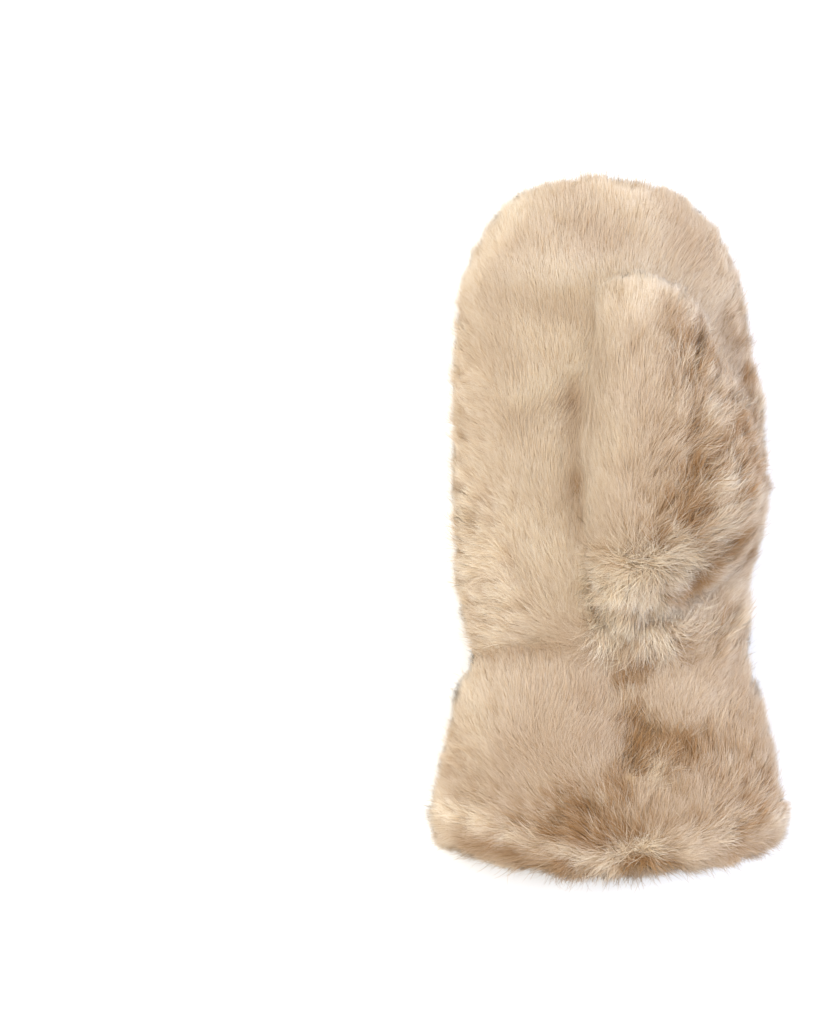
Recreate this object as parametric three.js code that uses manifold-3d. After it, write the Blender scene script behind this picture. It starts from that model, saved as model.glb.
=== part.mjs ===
// A faux fur mitten for the right hand, lying on its back with the palm up.
// Millimetres: +X is the thumb's side, +Y points to the fingertips, and +Z is up from the
// surface that the mitten lies on. Every wall is the outer form of a deep fur on its backing.

import * as THREE from 'three';
import { LoftGeometry } from 'three/addons/geometries/LoftGeometry.js';
import { mergeVertices } from 'three/addons/utils/BufferGeometryUtils.js';
import Module from 'manifold-3d';

const wasm = await Module();
wasm.setup();

// Driving dimensions
const LENGTH = 277.5; // from the hem to the fingertips, over the fur
const PILE = 8; // depth of the fur
const BACKING = 3; // the knitted ground that the fur stands on
const SEAM_ALLOWANCE = 2; // thickens the wall along both side seams
const SEAM_HEIGHT = 19; // of the side seams above the surface
const GAP = 0.5; // between two pieces that are sewn together
const THUMB_GAP = 0.8; // between the thumb and the palm that it lies on
const HEM_ROLL = 5; // radius of the folded hem's edge
const HAND_SQUARENESS = 2.4; // power of the hand's superellipse sections, 2 is an ellipse
const THUMB_SQUARENESS = 2.15;

const WALL = PILE + BACKING;
const HEM_Y = -LENGTH / 2;
const TIP_Y = LENGTH / 2;
const BEYOND = 20; // how far cutting solids reach past what they cut

// The hand and cuff from the hem up: the reach of the fur to the left and right of the middle,
// its rise above the side seams, and its drop below them. The surface flattens a drop that is
// more than the seams' height.
const HAND_STATIONS = [
	{ y: -138.75, left: 67.4, right: 67.8, rise: 25.5, drop: 21 },
	{ y: -120, left: 68, right: 68, rise: 26, drop: 22 },
	{ y: -100, left: 66.2, right: 66.2, rise: 25, drop: 22 },
	{ y: -83, left: 63.4, right: 62.6, rise: 23, drop: 21.5 },
	{ y: -66, left: 58.6, right: 58.4, rise: 20, drop: 19 },
	{ y: -49, left: 53.2, right: 53.2, rise: 17.5, drop: 17 },
	{ y: -38, left: 56, right: 54, rise: 18.8, drop: 19 },
	{ y: -22, left: 58.6, right: 54.6, rise: 21, drop: 21.5 },
	{ y: -4, left: 59.8, right: 58.4, rise: 22.5, drop: 22 },
	{ y: 20, left: 60.2, right: 60.2, rise: 23, drop: 22 },
	{ y: 50, left: 60.8, right: 58.6, rise: 23, drop: 22 },
	{ y: 82, left: 59.2, right: 53, rise: 22, drop: 21 },
];

// The rounded end over the fingertips closes on a point a little left of the middle.
const NOSE = { from: 82, x: -5, widthPower: 1.95, thicknessPower: 2.6 };

// The hem bows up towards both sides, and dips in where the palm's seam meets it.
const HEM = { bow: 13.5, notch: 5, notchX: 12, notchWidth: 11, fade: 45 };

// The seam of the palm runs up the cuff to the thumb's opening, and on round the thumb's base.
const PALM_SEAM = [
	{ x: 12, y: -139 },
	{ x: 8, y: -105 },
	{ x: 7.5, y: -67 },
	{ x: 1.2, y: -44 },
	{ x: -1.6, y: -33 },
];
const THUMB_SEAM = [
	{ x: -1.6, y: -33 },
	{ x: 17, y: -30 },
	{ x: 36, y: -23 },
	{ x: 50, y: -12 },
	{ x: 58, y: -1 },
];

// Dents and folds: a valley of this width and depth along the line from one end to the other,
// pressed into the palm from above or into the back from below.
const FOLDS = [
	{ name: 'cuff seam', side: 'palm', x0: 12, y0: -139, x1: 8, y1: -90, width: 8, depth: 3.5 },
	{ name: 'wrist seam', side: 'palm', x0: 8, y0: -90, x1: 0, y1: -36, width: 8, depth: 4.5 },
	{ name: 'cuff hollow', side: 'palm', x0: 14, y0: -80, x1: 38, y1: -78, width: 6, depth: 2 },
	{ name: 'wrist crease', side: 'palm', x0: -54, y0: -50, x1: -14, y1: -47, width: 6, depth: 3 },
	{ name: 'heel crease', side: 'palm', x0: 20, y0: -56, x1: 54, y1: -48, width: 7, depth: 2 },
	{ name: 'thumb base', side: 'palm', x0: -2, y0: -33, x1: 36, y1: -24, width: 7, depth: 4 },
	{ name: 'thumb corner', side: 'palm', x0: 36, y0: -24, x1: 58, y1: -2, width: 7, depth: 4 },
	{ name: 'thumb side', side: 'palm', x0: -4, y0: -30, x1: -13, y1: 10, width: 7, depth: 4 },
	{ name: 'thumb edge', side: 'palm', x0: -13, y0: 10, x1: -9, y1: 62, width: 7, depth: 3 },
	{ name: 'lower finger hollow', side: 'palm', x0: -30, y0: 42, x1: -12, y1: 54, width: 9, depth: 2 },
	{ name: 'upper finger hollow', side: 'palm', x0: -30, y0: 90, x1: -10, y1: 80, width: 9, depth: 2 },
	{ name: 'fingertip hollow', side: 'palm', x0: -20, y0: 119, x1: 8, y1: 116, width: 9, depth: 1.5 },
	{ name: 'outer gather', side: 'back', x0: -33, y0: -70, x1: -33, y1: -30, width: 6, depth: 3 },
	{ name: 'middle gather', side: 'back', x0: -8, y0: -72, x1: -7, y1: -20, width: 6, depth: 3 },
	{ name: 'inner gather', side: 'back', x0: 12, y0: -68, x1: 14, y1: -34, width: 6, depth: 3 },
	{ name: 'last gather', side: 'back', x0: 34, y0: -66, x1: 36, y1: -32, width: 6, depth: 2.5 },
];

// The thumb from inside the hand up to the start of its rounded end: the middle of each section,
// its half width, its reach above and below the middle, and its turn in plan, in degrees.
const THUMB_STATIONS = [
	{ y: -31, x: 24, z: 26, half: 20, up: 9, down: 12, turn: 26 },
	{ y: -24, x: 25.5, z: 34, half: 29, up: 12.5, down: 18, turn: 25 },
	{ y: -12, x: 26, z: 40, half: 33.5, up: 22, down: 20, turn: 20 },
	{ y: 3, x: 25.5, z: 44, half: 36, up: 25, down: 22, turn: 12 },
	{ y: 20, x: 24, z: 47, half: 34.5, up: 24.5, down: 20, turn: 7 },
	{ y: 40, x: 21.8, z: 50, half: 31.6, up: 22.5, down: 18, turn: 1 },
	{ y: 60, x: 18.6, z: 51, half: 26.9, up: 20.5, down: 16, turn: -4 },
	{ y: 76, x: 16, z: 52, half: 22.8, up: 18, down: 15, turn: -8 },
];
const THUMB_TIP = { y: 98, x: 12.6, z: 52 };

// The thumb's hollow climbs from the hand's hollow through the palm into the thumb.
const THUMB_HOLLOW_STATIONS = [
	{ y: -30, x: 25, z: 20, half: 14, up: 5, down: 7, turn: 24 },
	{ y: -20, x: 26, z: 31, half: 19, up: 10, down: 12, turn: 20 },
	{ y: -6, x: 26, z: 42, half: 21, up: 14, down: 12, turn: 14 },
	{ y: 14, x: 24, z: 52, half: 21.5, up: 10, down: 7.5, turn: 8 },
	{ y: 40, x: 21.8, z: 54, half: 19.5, up: 9, down: 8, turn: 1 },
	{ y: 62, x: 18.4, z: 54, half: 15.5, up: 8, down: 8, turn: -4 },
];
const THUMB_HOLLOW_TIP = { y: 90, x: 13.2, z: 53 };

// Sections: how many points go round one, and how far apart they are along the piece
const HAND_POINTS = 40;
const HOLLOW_POINTS = 24;
const THUMB_POINTS = 28;
const THUMB_HOLLOW_POINTS = 16;
const HAND_STEP = 8.6;
const HOLLOW_STEP = 18;
const THUMB_STEP = 8;
const THUMB_HOLLOW_STEP = 12;
const END_RINGS = 7;
const ROLL_RINGS = 3;

// Returns a function that gives the named columns of a table at any place along it.
function smoothTable(rows, columns) {
	const places = rows.map((row) => row.y);
	const values = rows.flatMap((row) => columns.map((column) => row[column]));
	const buffer = new Array(columns.length).fill(0);
	const curve = new THREE.CubicInterpolant(places, values, columns.length, buffer);
	return (y) => {
		const found = curve.evaluate(THREE.MathUtils.clamp(y, places[0], places.at(-1)));
		return Object.fromEntries(columns.map((column, index) => [column, found[index]]));
	};
}

const handAt = smoothTable(HAND_STATIONS, ['left', 'right', 'rise', 'drop']);

// A point of a superellipse of half size 1, at an angle from its right end.
function superellipse(angle, squareness) {
	const bulge = (value) => Math.sign(value) * Math.abs(value) ** (2 / squareness);
	return { across: bulge(Math.cos(angle)), above: bulge(Math.sin(angle)) };
}

// The fall from 1 to 0 of a rounded end, where closing goes from 0 to 1.
function roundedEnd(closing, power) {
	return (1 - closing ** power) ** (1 / power);
}

// Distance in plan from a point to the line between a fold's ends.
function distanceToFold(point, fold) {
	const line = new THREE.Line3(
		new THREE.Vector3(fold.x0, fold.y0, 0),
		new THREE.Vector3(fold.x1, fold.y1, 0),
	);
	const flat = new THREE.Vector3(point.x, point.y, 0);
	return line.closestPointToPoint(flat, true, new THREE.Vector3()).distanceTo(flat);
}

// Presses the folds of one side into a point of the outer form.
function pressFolds(point) {
	const side = point.z > SEAM_HEIGHT ? 'palm' : 'back';
	const fullness = Math.min(Math.abs(point.z - SEAM_HEIGHT) / (SEAM_HEIGHT / 2), 1);
	let depth = 0;
	for (const fold of FOLDS) {
		if (fold.side !== side) continue;
		depth += fold.depth * Math.exp(-((distanceToFold(point, fold) / fold.width) ** 2));
	}
	point.z += (side === 'palm' ? -depth : depth) * fullness;
}

// Bows the hem, and the rows of fur above it less and less.
function bowHem(point) {
	const nearHem = 1 - THREE.MathUtils.smoothstep(point.y, HEM_Y, HEM_Y + HEM.fade);
	const bow = HEM.bow * (point.x / HAND_STATIONS[0].left) ** 2;
	const dip = HEM.notch * Math.exp(-(((point.x - HEM.notchX) / HEM.notchWidth) ** 2));
	point.y += (bow + (point.z > SEAM_HEIGHT ? dip : 0)) * nearHem;
}

// One section of the hand, moved inwards from the outer form by an inset at the sides, at the
// top and at the bottom, and ending short of the fingertips by an inset of its own.
function handSection(y, inset, pointCount) {
	const size = handAt(y);
	const end = TIP_Y - inset.end;
	const closing = THREE.MathUtils.clamp((y - NOSE.from) / (end - NOSE.from), 0, 1);
	const narrowing = roundedEnd(closing, NOSE.widthPower);
	const thinning = roundedEnd(closing, NOSE.thicknessPower);
	const left = NOSE.x + (inset.side - size.left - NOSE.x) * narrowing;
	const right = NOSE.x + (size.right - inset.side - NOSE.x) * narrowing;
	const rise = (size.rise - inset.top) * thinning;
	const drop = (size.drop - inset.bottom) * thinning;
	const points = [];
	for (let index = 0; index < pointCount; index += 1) {
		const angle = Math.PI - (index / pointCount) * Math.PI * 2;
		const { across, above } = superellipse(angle, HAND_SQUARENESS);
		const x = (left + right) / 2 + (across * (right - left)) / 2;
		const z = SEAM_HEIGHT + above * (above > 0 ? rise : drop);
		points.push(new THREE.Vector3(x, y, z));
	}
	return points;
}

// Places along the hand from the top of the hem's roll to the fingertips, closer at the end.
function placesAlong(from, noseFrom, end, step) {
	const count = Math.round((noseFrom - from) / step);
	const places = [];
	for (let index = 0; index < count; index += 1) {
		places.push(from + ((noseFrom - from) * index) / count);
	}
	for (let index = 0; index < END_RINGS; index += 1) {
		const quarterTurn = (index / END_RINGS) * (Math.PI / 2);
		places.push(noseFrom + (end - noseFrom) * Math.sin(quarterTurn));
	}
	places.push(noseFrom + (end - noseFrom) * 0.998);
	return places;
}

// How far the folded edge has turned inwards at a height above the hem.
function hemRoll(height) {
	const left = HEM_ROLL - Math.min(height, HEM_ROLL);
	return HEM_ROLL - Math.sqrt(HEM_ROLL ** 2 - left ** 2);
}

function evenInset(amount) {
	return { side: amount, top: amount, bottom: amount, end: amount };
}

// The outer form of the hand and cuff as a whole solid, larger by a clearance.
function handSolid(clearance) {
	const sections = [];
	const rimInset = HEM_ROLL + BACKING;
	sections.push(handSection(HEM_Y, evenInset(rimInset), HAND_POINTS));
	for (let ring = 0; ring < ROLL_RINGS; ring += 1) {
		const height = HEM_ROLL * (1 - Math.cos((ring / ROLL_RINGS) * (Math.PI / 2)));
		sections.push(handSection(HEM_Y + height, evenInset(hemRoll(height) - clearance), HAND_POINTS));
	}
	for (const y of placesAlong(HEM_Y + HEM_ROLL, NOSE.from, TIP_Y, HAND_STEP)) {
		sections.push(handSection(y, evenInset(-clearance), HAND_POINTS));
	}
	for (const point of sections.flat()) {
		pressFolds(point);
		bowHem(point);
		point.z = Math.max(point.z, 0);
	}
	return solidOf(new LoftGeometry(sections, { capStart: true, capEnd: true }));
}

// The hollow for the hand, open at the hem, where it widens round the folded edge.
function handHollow() {
	const wallInset = (roll) => ({
		side: WALL + SEAM_ALLOWANCE - roll,
		top: WALL - roll,
		bottom: WALL - roll,
		end: WALL,
	});
	const sections = [handSection(HEM_Y - BEYOND, wallInset(HEM_ROLL), HOLLOW_POINTS)];
	for (let ring = 0; ring < ROLL_RINGS; ring += 1) {
		const height = HEM_ROLL * (1 - Math.cos((ring / ROLL_RINGS) * (Math.PI / 2)));
		sections.push(handSection(HEM_Y + height, wallInset(hemRoll(height)), HOLLOW_POINTS));
	}
	for (const y of placesAlong(HEM_Y + HEM_ROLL, NOSE.from, TIP_Y - WALL, HOLLOW_STEP)) {
		sections.push(handSection(y, wallInset(0), HOLLOW_POINTS));
	}
	sections.flat().forEach(bowHem);
	return solidOf(new LoftGeometry(sections, { capStart: true, capEnd: true }));
}

// A thumb-shaped solid through a table of stations, closing on a rounded end.
function thumbSolid(stations, tip, pointCount, step) {
	const thumbAt = smoothTable(stations, ['x', 'z', 'half', 'up', 'down', 'turn']);
	const last = stations.at(-1);
	const sections = placesAlong(stations[0].y, last.y, tip.y, step).map((y) => {
		const size = thumbAt(y);
		const closing = THREE.MathUtils.clamp((y - last.y) / (tip.y - last.y), 0, 1);
		const shrink = roundedEnd(closing, THUMB_SQUARENESS);
		const middle = new THREE.Vector3(
			size.x + (tip.x - size.x) * closing,
			y,
			size.z + (tip.z - size.z) * closing,
		);
		const turn = THREE.MathUtils.degToRad(size.turn);
		const points = [];
		for (let index = 0; index < pointCount; index += 1) {
			const angle = Math.PI - (index / pointCount) * Math.PI * 2;
			const { across, above } = superellipse(angle, THUMB_SQUARENESS);
			const aside = across * size.half * shrink;
			const height = above * (above > 0 ? size.up : size.down) * shrink;
			points.push(
				new THREE.Vector3(aside * Math.cos(turn), aside * Math.sin(turn), height).add(middle),
			);
		}
		return points;
	});
	return solidOf(new LoftGeometry(sections, { capStart: true, capEnd: true }));
}

// A closed geometry as a solid that can be joined and cut.
function solidOf(geometry) {
	const plain = new THREE.BufferGeometry();
	plain.setAttribute('position', geometry.attributes.position);
	plain.setIndex(geometry.index);
	const merged = mergeVertices(plain, 1e-4);
	return new wasm.Manifold(
		new wasm.Mesh({
			numProp: 3,
			vertProperties: new Float32Array(merged.attributes.position.array),
			triVerts: new Uint32Array(merged.index.array),
		}),
	);
}

// A box between two heights that holds the whole mitten in plan.
function layer(low, high) {
	const across = LENGTH + BEYOND * 2;
	const box = new THREE.BoxGeometry(across, across, high - low);
	box.translate(0, 0, (low + high) / 2);
	return solidOf(box);
}

// Everything on the heel's side of the palm's seam and the seam round the thumb's base.
function heelRegion() {
	const toVectors = (rows) => rows.map((row) => new THREE.Vector2(row.x, row.y));
	const outside = LENGTH / 2;
	const outline = new THREE.Shape();
	outline.moveTo(outside, HEM_Y - BEYOND);
	outline.lineTo(outside, THUMB_SEAM.at(-1).y + BEYOND);
	outline.lineTo(THUMB_SEAM.at(-1).x + BEYOND, THUMB_SEAM.at(-1).y + BEYOND);
	outline.splineThru(toVectors(THUMB_SEAM).reverse());
	outline.splineThru(toVectors(PALM_SEAM).reverse().slice(1));
	outline.lineTo(PALM_SEAM[0].x, HEM_Y - BEYOND);
	const prism = new THREE.ExtrudeGeometry(outline, {
		depth: LENGTH,
		bevelEnabled: false,
		curveSegments: 12,
	});
	return solidOf(prism);
}

// The whole mitten is hollowed first, then parted along its seams.
const hollow = handHollow();
const thumbHollow = thumbSolid(
	THUMB_HOLLOW_STATIONS,
	THUMB_HOLLOW_TIP,
	THUMB_HOLLOW_POINTS,
	THUMB_HOLLOW_STEP,
);
const handWall = handSolid(0).subtract(hollow);
const upperWall = handWall
	.intersect(layer(SEAM_HEIGHT + GAP / 2, LENGTH))
	.subtract(thumbHollow);
const heelSide = heelRegion();

const pieces = {
	back_panel: handWall.intersect(layer(-BEYOND, SEAM_HEIGHT - GAP / 2)),
	palm_panel: upperWall.subtract(heelSide.translate([-GAP, GAP, 0])),
	heel_panel: upperWall.intersect(heelSide),
	thumb: thumbSolid(THUMB_STATIONS, THUMB_TIP, THUMB_POINTS, THUMB_STEP)
		.subtract(handSolid(THUMB_GAP))
		.subtract(thumbHollow),
};

// Cream fur, a little deeper in colour where the panels lie in shade
const FUR_COLOURS = {
	back_panel: 0xcdb49b,
	palm_panel: 0xd8c0a4,
	heel_panel: 0xc2a88b,
	thumb: 0xcbb297,
};

// Makes a named mesh from a solid.
function meshOf(name, solid) {
	const { numProp, vertProperties, triVerts } = solid.getMesh();
	if (numProp !== 3) throw new Error(`${name} has more than positions in its vertices`);
	const geometry = new THREE.BufferGeometry();
	geometry.setAttribute('position', new THREE.BufferAttribute(vertProperties, 3));
	geometry.setIndex(new THREE.BufferAttribute(triVerts, 1));
	geometry.computeVertexNormals();
	const fur = new THREE.MeshStandardMaterial({
		color: FUR_COLOURS[name],
		roughness: 0.95,
		metalness: 0,
	});
	const mesh = new THREE.Mesh(geometry, fur);
	mesh.name = name;
	return mesh;
}

const mitten = new THREE.Group();
for (const [name, solid] of Object.entries(pieces)) {
	mitten.add(meshOf(name, solid));
}

export default mitten;
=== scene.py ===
import math

import bpy
import numpy as np
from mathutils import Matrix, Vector
from mathutils.bvhtree import BVHTree
from mathutils.kdtree import KDTree


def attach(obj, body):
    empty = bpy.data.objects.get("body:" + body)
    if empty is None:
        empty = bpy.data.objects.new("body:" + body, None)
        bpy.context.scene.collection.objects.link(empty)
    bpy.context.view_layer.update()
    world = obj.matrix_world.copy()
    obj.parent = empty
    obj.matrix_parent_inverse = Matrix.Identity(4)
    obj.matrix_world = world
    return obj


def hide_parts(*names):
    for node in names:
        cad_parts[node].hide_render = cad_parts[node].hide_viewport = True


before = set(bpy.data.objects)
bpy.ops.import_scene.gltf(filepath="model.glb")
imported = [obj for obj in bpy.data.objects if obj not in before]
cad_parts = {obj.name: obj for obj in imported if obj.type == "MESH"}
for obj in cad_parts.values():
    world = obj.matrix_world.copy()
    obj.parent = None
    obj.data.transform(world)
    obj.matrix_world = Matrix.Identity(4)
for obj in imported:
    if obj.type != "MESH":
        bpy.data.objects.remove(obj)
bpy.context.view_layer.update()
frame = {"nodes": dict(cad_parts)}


# Camera and studio
# The mitten lies on a white table under a wide soft light at the upper left, with a cooler
# one at the right, and the camera looks straight down on it.
MM = 0.001

# The picture's size in pixels, a pixel's size on the table, and the pixel where the mitten's
# own origin lies
PICTURE_WIDTH, PICTURE_HEIGHT = 819, 1024
PIXEL = 0.3927 * MM
MITTEN_PIXEL = (609.0, 528.5)
CAMERA_HEIGHT = 4.0
SENSOR = 36.0

camera_data = bpy.data.cameras.new("camera")
camera_data.sensor_width = SENSOR
camera_data.lens = SENSOR * CAMERA_HEIGHT / (PICTURE_HEIGHT * PIXEL)
camera = bpy.data.objects.new("camera", camera_data)
camera.location = (
    (PICTURE_WIDTH / 2 - MITTEN_PIXEL[0]) * PIXEL,
    (MITTEN_PIXEL[1] - PICTURE_HEIGHT / 2) * PIXEL,
    CAMERA_HEIGHT,
)
bpy.context.scene.collection.objects.link(camera)
bpy.context.scene.camera = camera
bpy.context.scene.view_settings.view_transform = "Standard"


def linear(colour):
    """An sRGB hex colour as linear red, green, blue and alpha."""
    channels = [int(colour[start : start + 2], 16) / 255 for start in (1, 3, 5)]
    curve = [c / 12.92 if c <= 0.04045 else ((c + 0.055) / 1.055) ** 2.4 for c in channels]
    return (*curve, 1.0)


def soft_light(name, place, size, watts, colour):
    """Adds a square soft light that faces the mitten."""
    data = bpy.data.lights.new(name, "AREA")
    data.size = size
    data.energy = watts
    data.color = linear(colour)[:3]
    light = bpy.data.objects.new(name, data)
    light.location = place
    light.rotation_euler = (-Vector(place)).to_track_quat("-Z", "Y").to_euler()
    bpy.context.scene.collection.objects.link(light)


soft_light("key_light", place=(-0.98, 0.6, 1.56), size=2.4, watts=43.0, colour="#fef9ef")
soft_light("rim_light", place=(1.5, 0.1, 0.6), size=0.9, watts=33.0, colour="#d2e1ff")

studio = bpy.data.worlds.new("studio")
studio.use_nodes = True
studio.node_tree.nodes["Background"].inputs["Color"].default_value = linear("#fffcf8")
studio.node_tree.nodes["Background"].inputs["Strength"].default_value = 1.0
bpy.context.scene.world = studio


def new_material(name):
    """Makes an empty node material."""
    material = bpy.data.materials.new(name)
    material.use_nodes = True
    material.node_tree.nodes.clear()
    return material


def add_node(material, kind, settings=None, links=None, stops=()):
    """Adds a node. Settings and links are by the name or number of a property or input.

    Stops are the places and hex colours of a colour ramp.
    """
    node = material.node_tree.nodes.new(kind)
    for name, value in (settings or {}).items():
        if isinstance(name, str) and hasattr(node, name):
            setattr(node, name, value)
        else:
            node.inputs[name].default_value = value
    for name, source in (links or {}).items():
        material.node_tree.links.new(source, node.inputs[name])
    elements = node.color_ramp.elements if stops else ()
    while len(elements) < len(stops):
        elements.new(0.5)
    for element, (place, colour) in zip(elements, stops):
        element.position = place
        element.color = linear(colour)
    return node


# Matt white paint sends most of the light back and shows no gloss.
white_paint = new_material("matt_white_paint")
paint = add_node(
    white_paint,
    "ShaderNodeBsdfPrincipled",
    {"Base Color": linear("#fafafa"), "Roughness": 0.9},
)
add_node(white_paint, "ShaderNodeOutputMaterial", links={"Surface": paint.outputs["BSDF"]})

TABLE_HALF = 4.0
table_mesh = bpy.data.meshes.new("table_top")
table_corners = [
    (TABLE_HALF * side_x, TABLE_HALF * side_y, 0.0)
    for side_x, side_y in ((-1, -1), (1, -1), (1, 1), (-1, 1))
]
table_mesh.from_pydata(table_corners, [], [(0, 1, 2, 3)])
table_mesh.materials.append(white_paint)
table_top = bpy.data.objects.new("table_top", table_mesh)
bpy.context.scene.collection.objects.link(table_top)


# Hand
# Three panels of faux fur fabric, sewn together: the back, the palm, and the heel of the palm
# below the thumb. Each is a knitted backing with a dense underfur, and on it grow short ground
# hairs and longer guard hairs.

# The sheets of underfur: how fine their voxels are, how far a panel grows to close its gap at
# a seam, and how far over the table the fur ends
VOXEL = 2.4
SEAM_ALLOWANCE = 0.45
FLOOR_CLEARANCE = 0.3

# How far the guard hairs stand above the underfur where they lie smooth and where they stand
# in locks, and how deep full pressure dents the fur
SMOOTH_LOFT = 2.3
LOCK_LOFT = 5.0
DENT = 7.0

# Where the fur can be seen from: rays in these directions have to get away from the mitten.
OUTLOOKS = [(azimuth, elevation) for elevation in (-30, 30) for azimuth in range(0, 360, 45)]
OUTLOOKS += [(0, 90), (0, -90)]

# How the fur looks. Sizes are in millimetres, angles in degrees, tones and shares from 0 to 1,
# and densities in hairs on a square millimetre of smooth fur and of locks.
LOOK = {
    # How many hairs there are, and the share of them where the mitten lies on its fur
    "guard_density": (1.0, 2.3),
    "ground_density": (8.7, 4.5),
    "underside_density": 0.15,
    # How far they reach along the nap, the range of that, and how much of it is there in smooth
    # fur and is added in locks
    "reach": 11.0,
    "ground_reach": 6.5,
    "reach_range": (0.7, 1.2),
    "smooth_reach": 0.95,
    "lock_reach": 0.25,
    # How high ground hairs stand beside guard hairs, how uneven the heights are, how much
    # longer hairs are that point away from the panel, and how far those differ from hair to
    # hair and from tuft to tuft
    "ground_height": 0.85,
    "uneven": (-0.35, 0.15),
    "outward": 2.5,
    "looseness": 0.35,
    "tufted": 0.4,
    "tuft_size": 8.0,
    # Their widths, the range of that, how much narrower they are that point away, and how far
    # they are twisted
    "width": 0.16,
    "ground_width": 0.22,
    "width_range": (0.75, 1.25),
    "narrowed": 0.35,
    "twist": 0.4,
    # How far a hair of ruffled fur is shaded by the way that it faces itself, and how far the
    # panel's normal, which shades the rest, is turned upwards
    "own_normal": 0.5,
    "upward": 1.2,
    # Slow changes of the nap's direction and height, and of the sheets under it
    "swirl": 7.0,
    "swirl_size": 28.0,
    "swell": 0.1,
    "swell_size": 22.0,
    "undulation": 0.7,
    "undulation_size": 24.0,
    # How far single hairs stray: in ruffled fur, as a share of that in smooth fur, and at a
    # parting. How far they are crimped, how far the crimp's wave goes on along a hair in
    # radians, and how far they are bent at random.
    "stray": 13.0,
    "smooth_stray": 0.35,
    "parted_stray": 80.0,
    "wave": 1.2,
    "crimp": 5.0,
    "frizz": 0.35,
    # Tones: the middle one, its slow changes, and those from hair to hair. A hair takes the
    # painted light and shade of the marks where it is seen, at this share of its reach, and less
    # of it on fur that faces sideways.
    "tone": 0.65,
    "cloud": 0.04,
    "cloud_size": 24.0,
    "strand_tone": 0.24,
    "seen_at": 0.7,
    "side_fade": 0.65,
    # How much of a lock all fur has, and how ruffled smooth fur is at least
    "lock": 0.03,
    "least_ruffled": 0.05,
    # How far tips may stand out of the outer form, how far inside it they stay if they point
    # away from the panel, and what is added at random from hair to hair and from tuft to tuft
    "proud": 0.4,
    "trimmed": 1.0,
    "fuzz": 0.6,
    "loose_fuzz": 1.2,
    "tufts": 1.5,
    # The share of whiskers, how much higher they stand, how much further out their tips may
    # be, and how much darker they are. Pressed fur at an edge has a fringe, with more of them
    # and darker ones.
    "whiskers": 0.1,
    "whisker_height": 3.0,
    "whisker_range": (1.0, 4.5),
    "whisker_shade": 0.12,
    "fringe": 0.2,
    "fringe_shade": 0.9,
    # From this press on, ground hairs too are held back to the outer form.
    "pressed": 0.1,
}


def table(columns, rows):
    """A table's named columns as arrays. A text in the first column is a note."""
    rows = [row[1:] if isinstance(row[0], str) else row for row in rows]
    return dict(zip(columns.split(), np.array(rows, float).T))


# How hairs gather: how far apart the gatherings are, whether they are only there where fur stands
# in locks, how strongly each draws its hairs together, turns them, raises them and shades them,
# and how much paler its middle is than the hairs this share of the spacing away. That paler middle
# is painted light on the lock's top, and its darker edges are painted shade between the locks.
GATHERINGS = table(
    "spacing in_locks gather swing raise shade crown",
    [
        ("locks", 5.5, 1, 0.85, 20.0, 0.3, 0.12, 0.35),
        ("wisps", 2.4, 0, 0.6, 12.0, 0.16, 0.14, 0.4),
    ],
)
EVEN_TONE_AT = 0.4


def unit(vectors):
    """Vectors made 1 long."""
    return vectors / np.maximum(np.linalg.norm(vectors, axis=-1, keepdims=True), 1e-9)


def mesh_arrays(mesh):
    """A mesh's points and normals in millimetres, and its triangles."""
    points = np.empty(len(mesh.vertices) * 3, np.float32)
    mesh.vertices.foreach_get("co", points)
    normals = np.empty(len(mesh.vertices) * 3, np.float32)
    mesh.vertices.foreach_get("normal", normals)
    mesh.calc_loop_triangles()
    triangles = np.empty(len(mesh.loop_triangles) * 3, np.int32)
    mesh.loop_triangles.foreach_get("vertices", triangles)
    points, normals = (values.reshape(-1, 3).astype(float) for values in (points, normals))
    return points / MM, normals, triangles.reshape(-1, 3)


def joined(nodes):
    """The points in millimetres and the triangles of some CAD pieces together."""
    points, triangles, start = [], [], 0
    for node in nodes:
        own_points, _, own_triangles = mesh_arrays(frame["nodes"][node].data)
        points.append(own_points)
        triangles.append(own_triangles + start)
        start += len(own_points)
    return np.concatenate(points), np.concatenate(triangles)


def search_tree(nodes):
    """A search tree over some CAD pieces, in millimetres."""
    points, triangles = joined(nodes)
    return BVHTree.FromPolygons(points.tolist(), triangles.tolist())


cad_faces = search_tree(frame["nodes"])


def open_to_view(points, normals):
    """Whether each point of a surface can be seen from outside the mitten."""
    around, up = np.radians(OUTLOOKS).T
    flat = np.cos(up)
    directions = np.stack([flat * np.cos(around), flat * np.sin(around), np.sin(up)], -1)
    directions = [Vector(direction) for direction in directions]
    clear = 1.5
    starts = [Vector(start) for start in points + normals * clear]
    return np.array(
        [any(cad_faces.ray_cast(start, way)[0] is None for way in directions) for start in starts]
    )


def marks_at(marks, column, x, y):
    """A column of a table of marks at places in plan. Each mark is a soft line or spot."""
    total = np.zeros(np.shape(x))
    columns = ("x0", "y0", "x1", "y1", "width", column)
    for x0, y0, x1, y1, width, strength in zip(*(marks[name] for name in columns)):
        dx, dy = x1 - x0, y1 - y0
        along = np.clip(((x - x0) * dx + (y - y0) * dy) / max(dx * dx + dy * dy, 1e-6), 0, 1)
        distance = np.hypot(x - x0 - along * dx, y - y0 - along * dy)
        total += strength * np.exp(-((distance / width) ** 2))
    return total


def lock_at(marks, x, y):
    """How far the fur stands in locks at places in plan, from smooth at 0 to ruffled at 1."""
    return np.clip(LOOK["lock"] + marks_at(marks, "lock", x, y), 0, 1)


def loft_at(marks, x, y):
    """How far the guard hairs stand above the underfur at places in plan."""
    return SMOOTH_LOFT + (LOCK_LOFT - SMOOTH_LOFT) * lock_at(marks, x, y)


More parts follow.
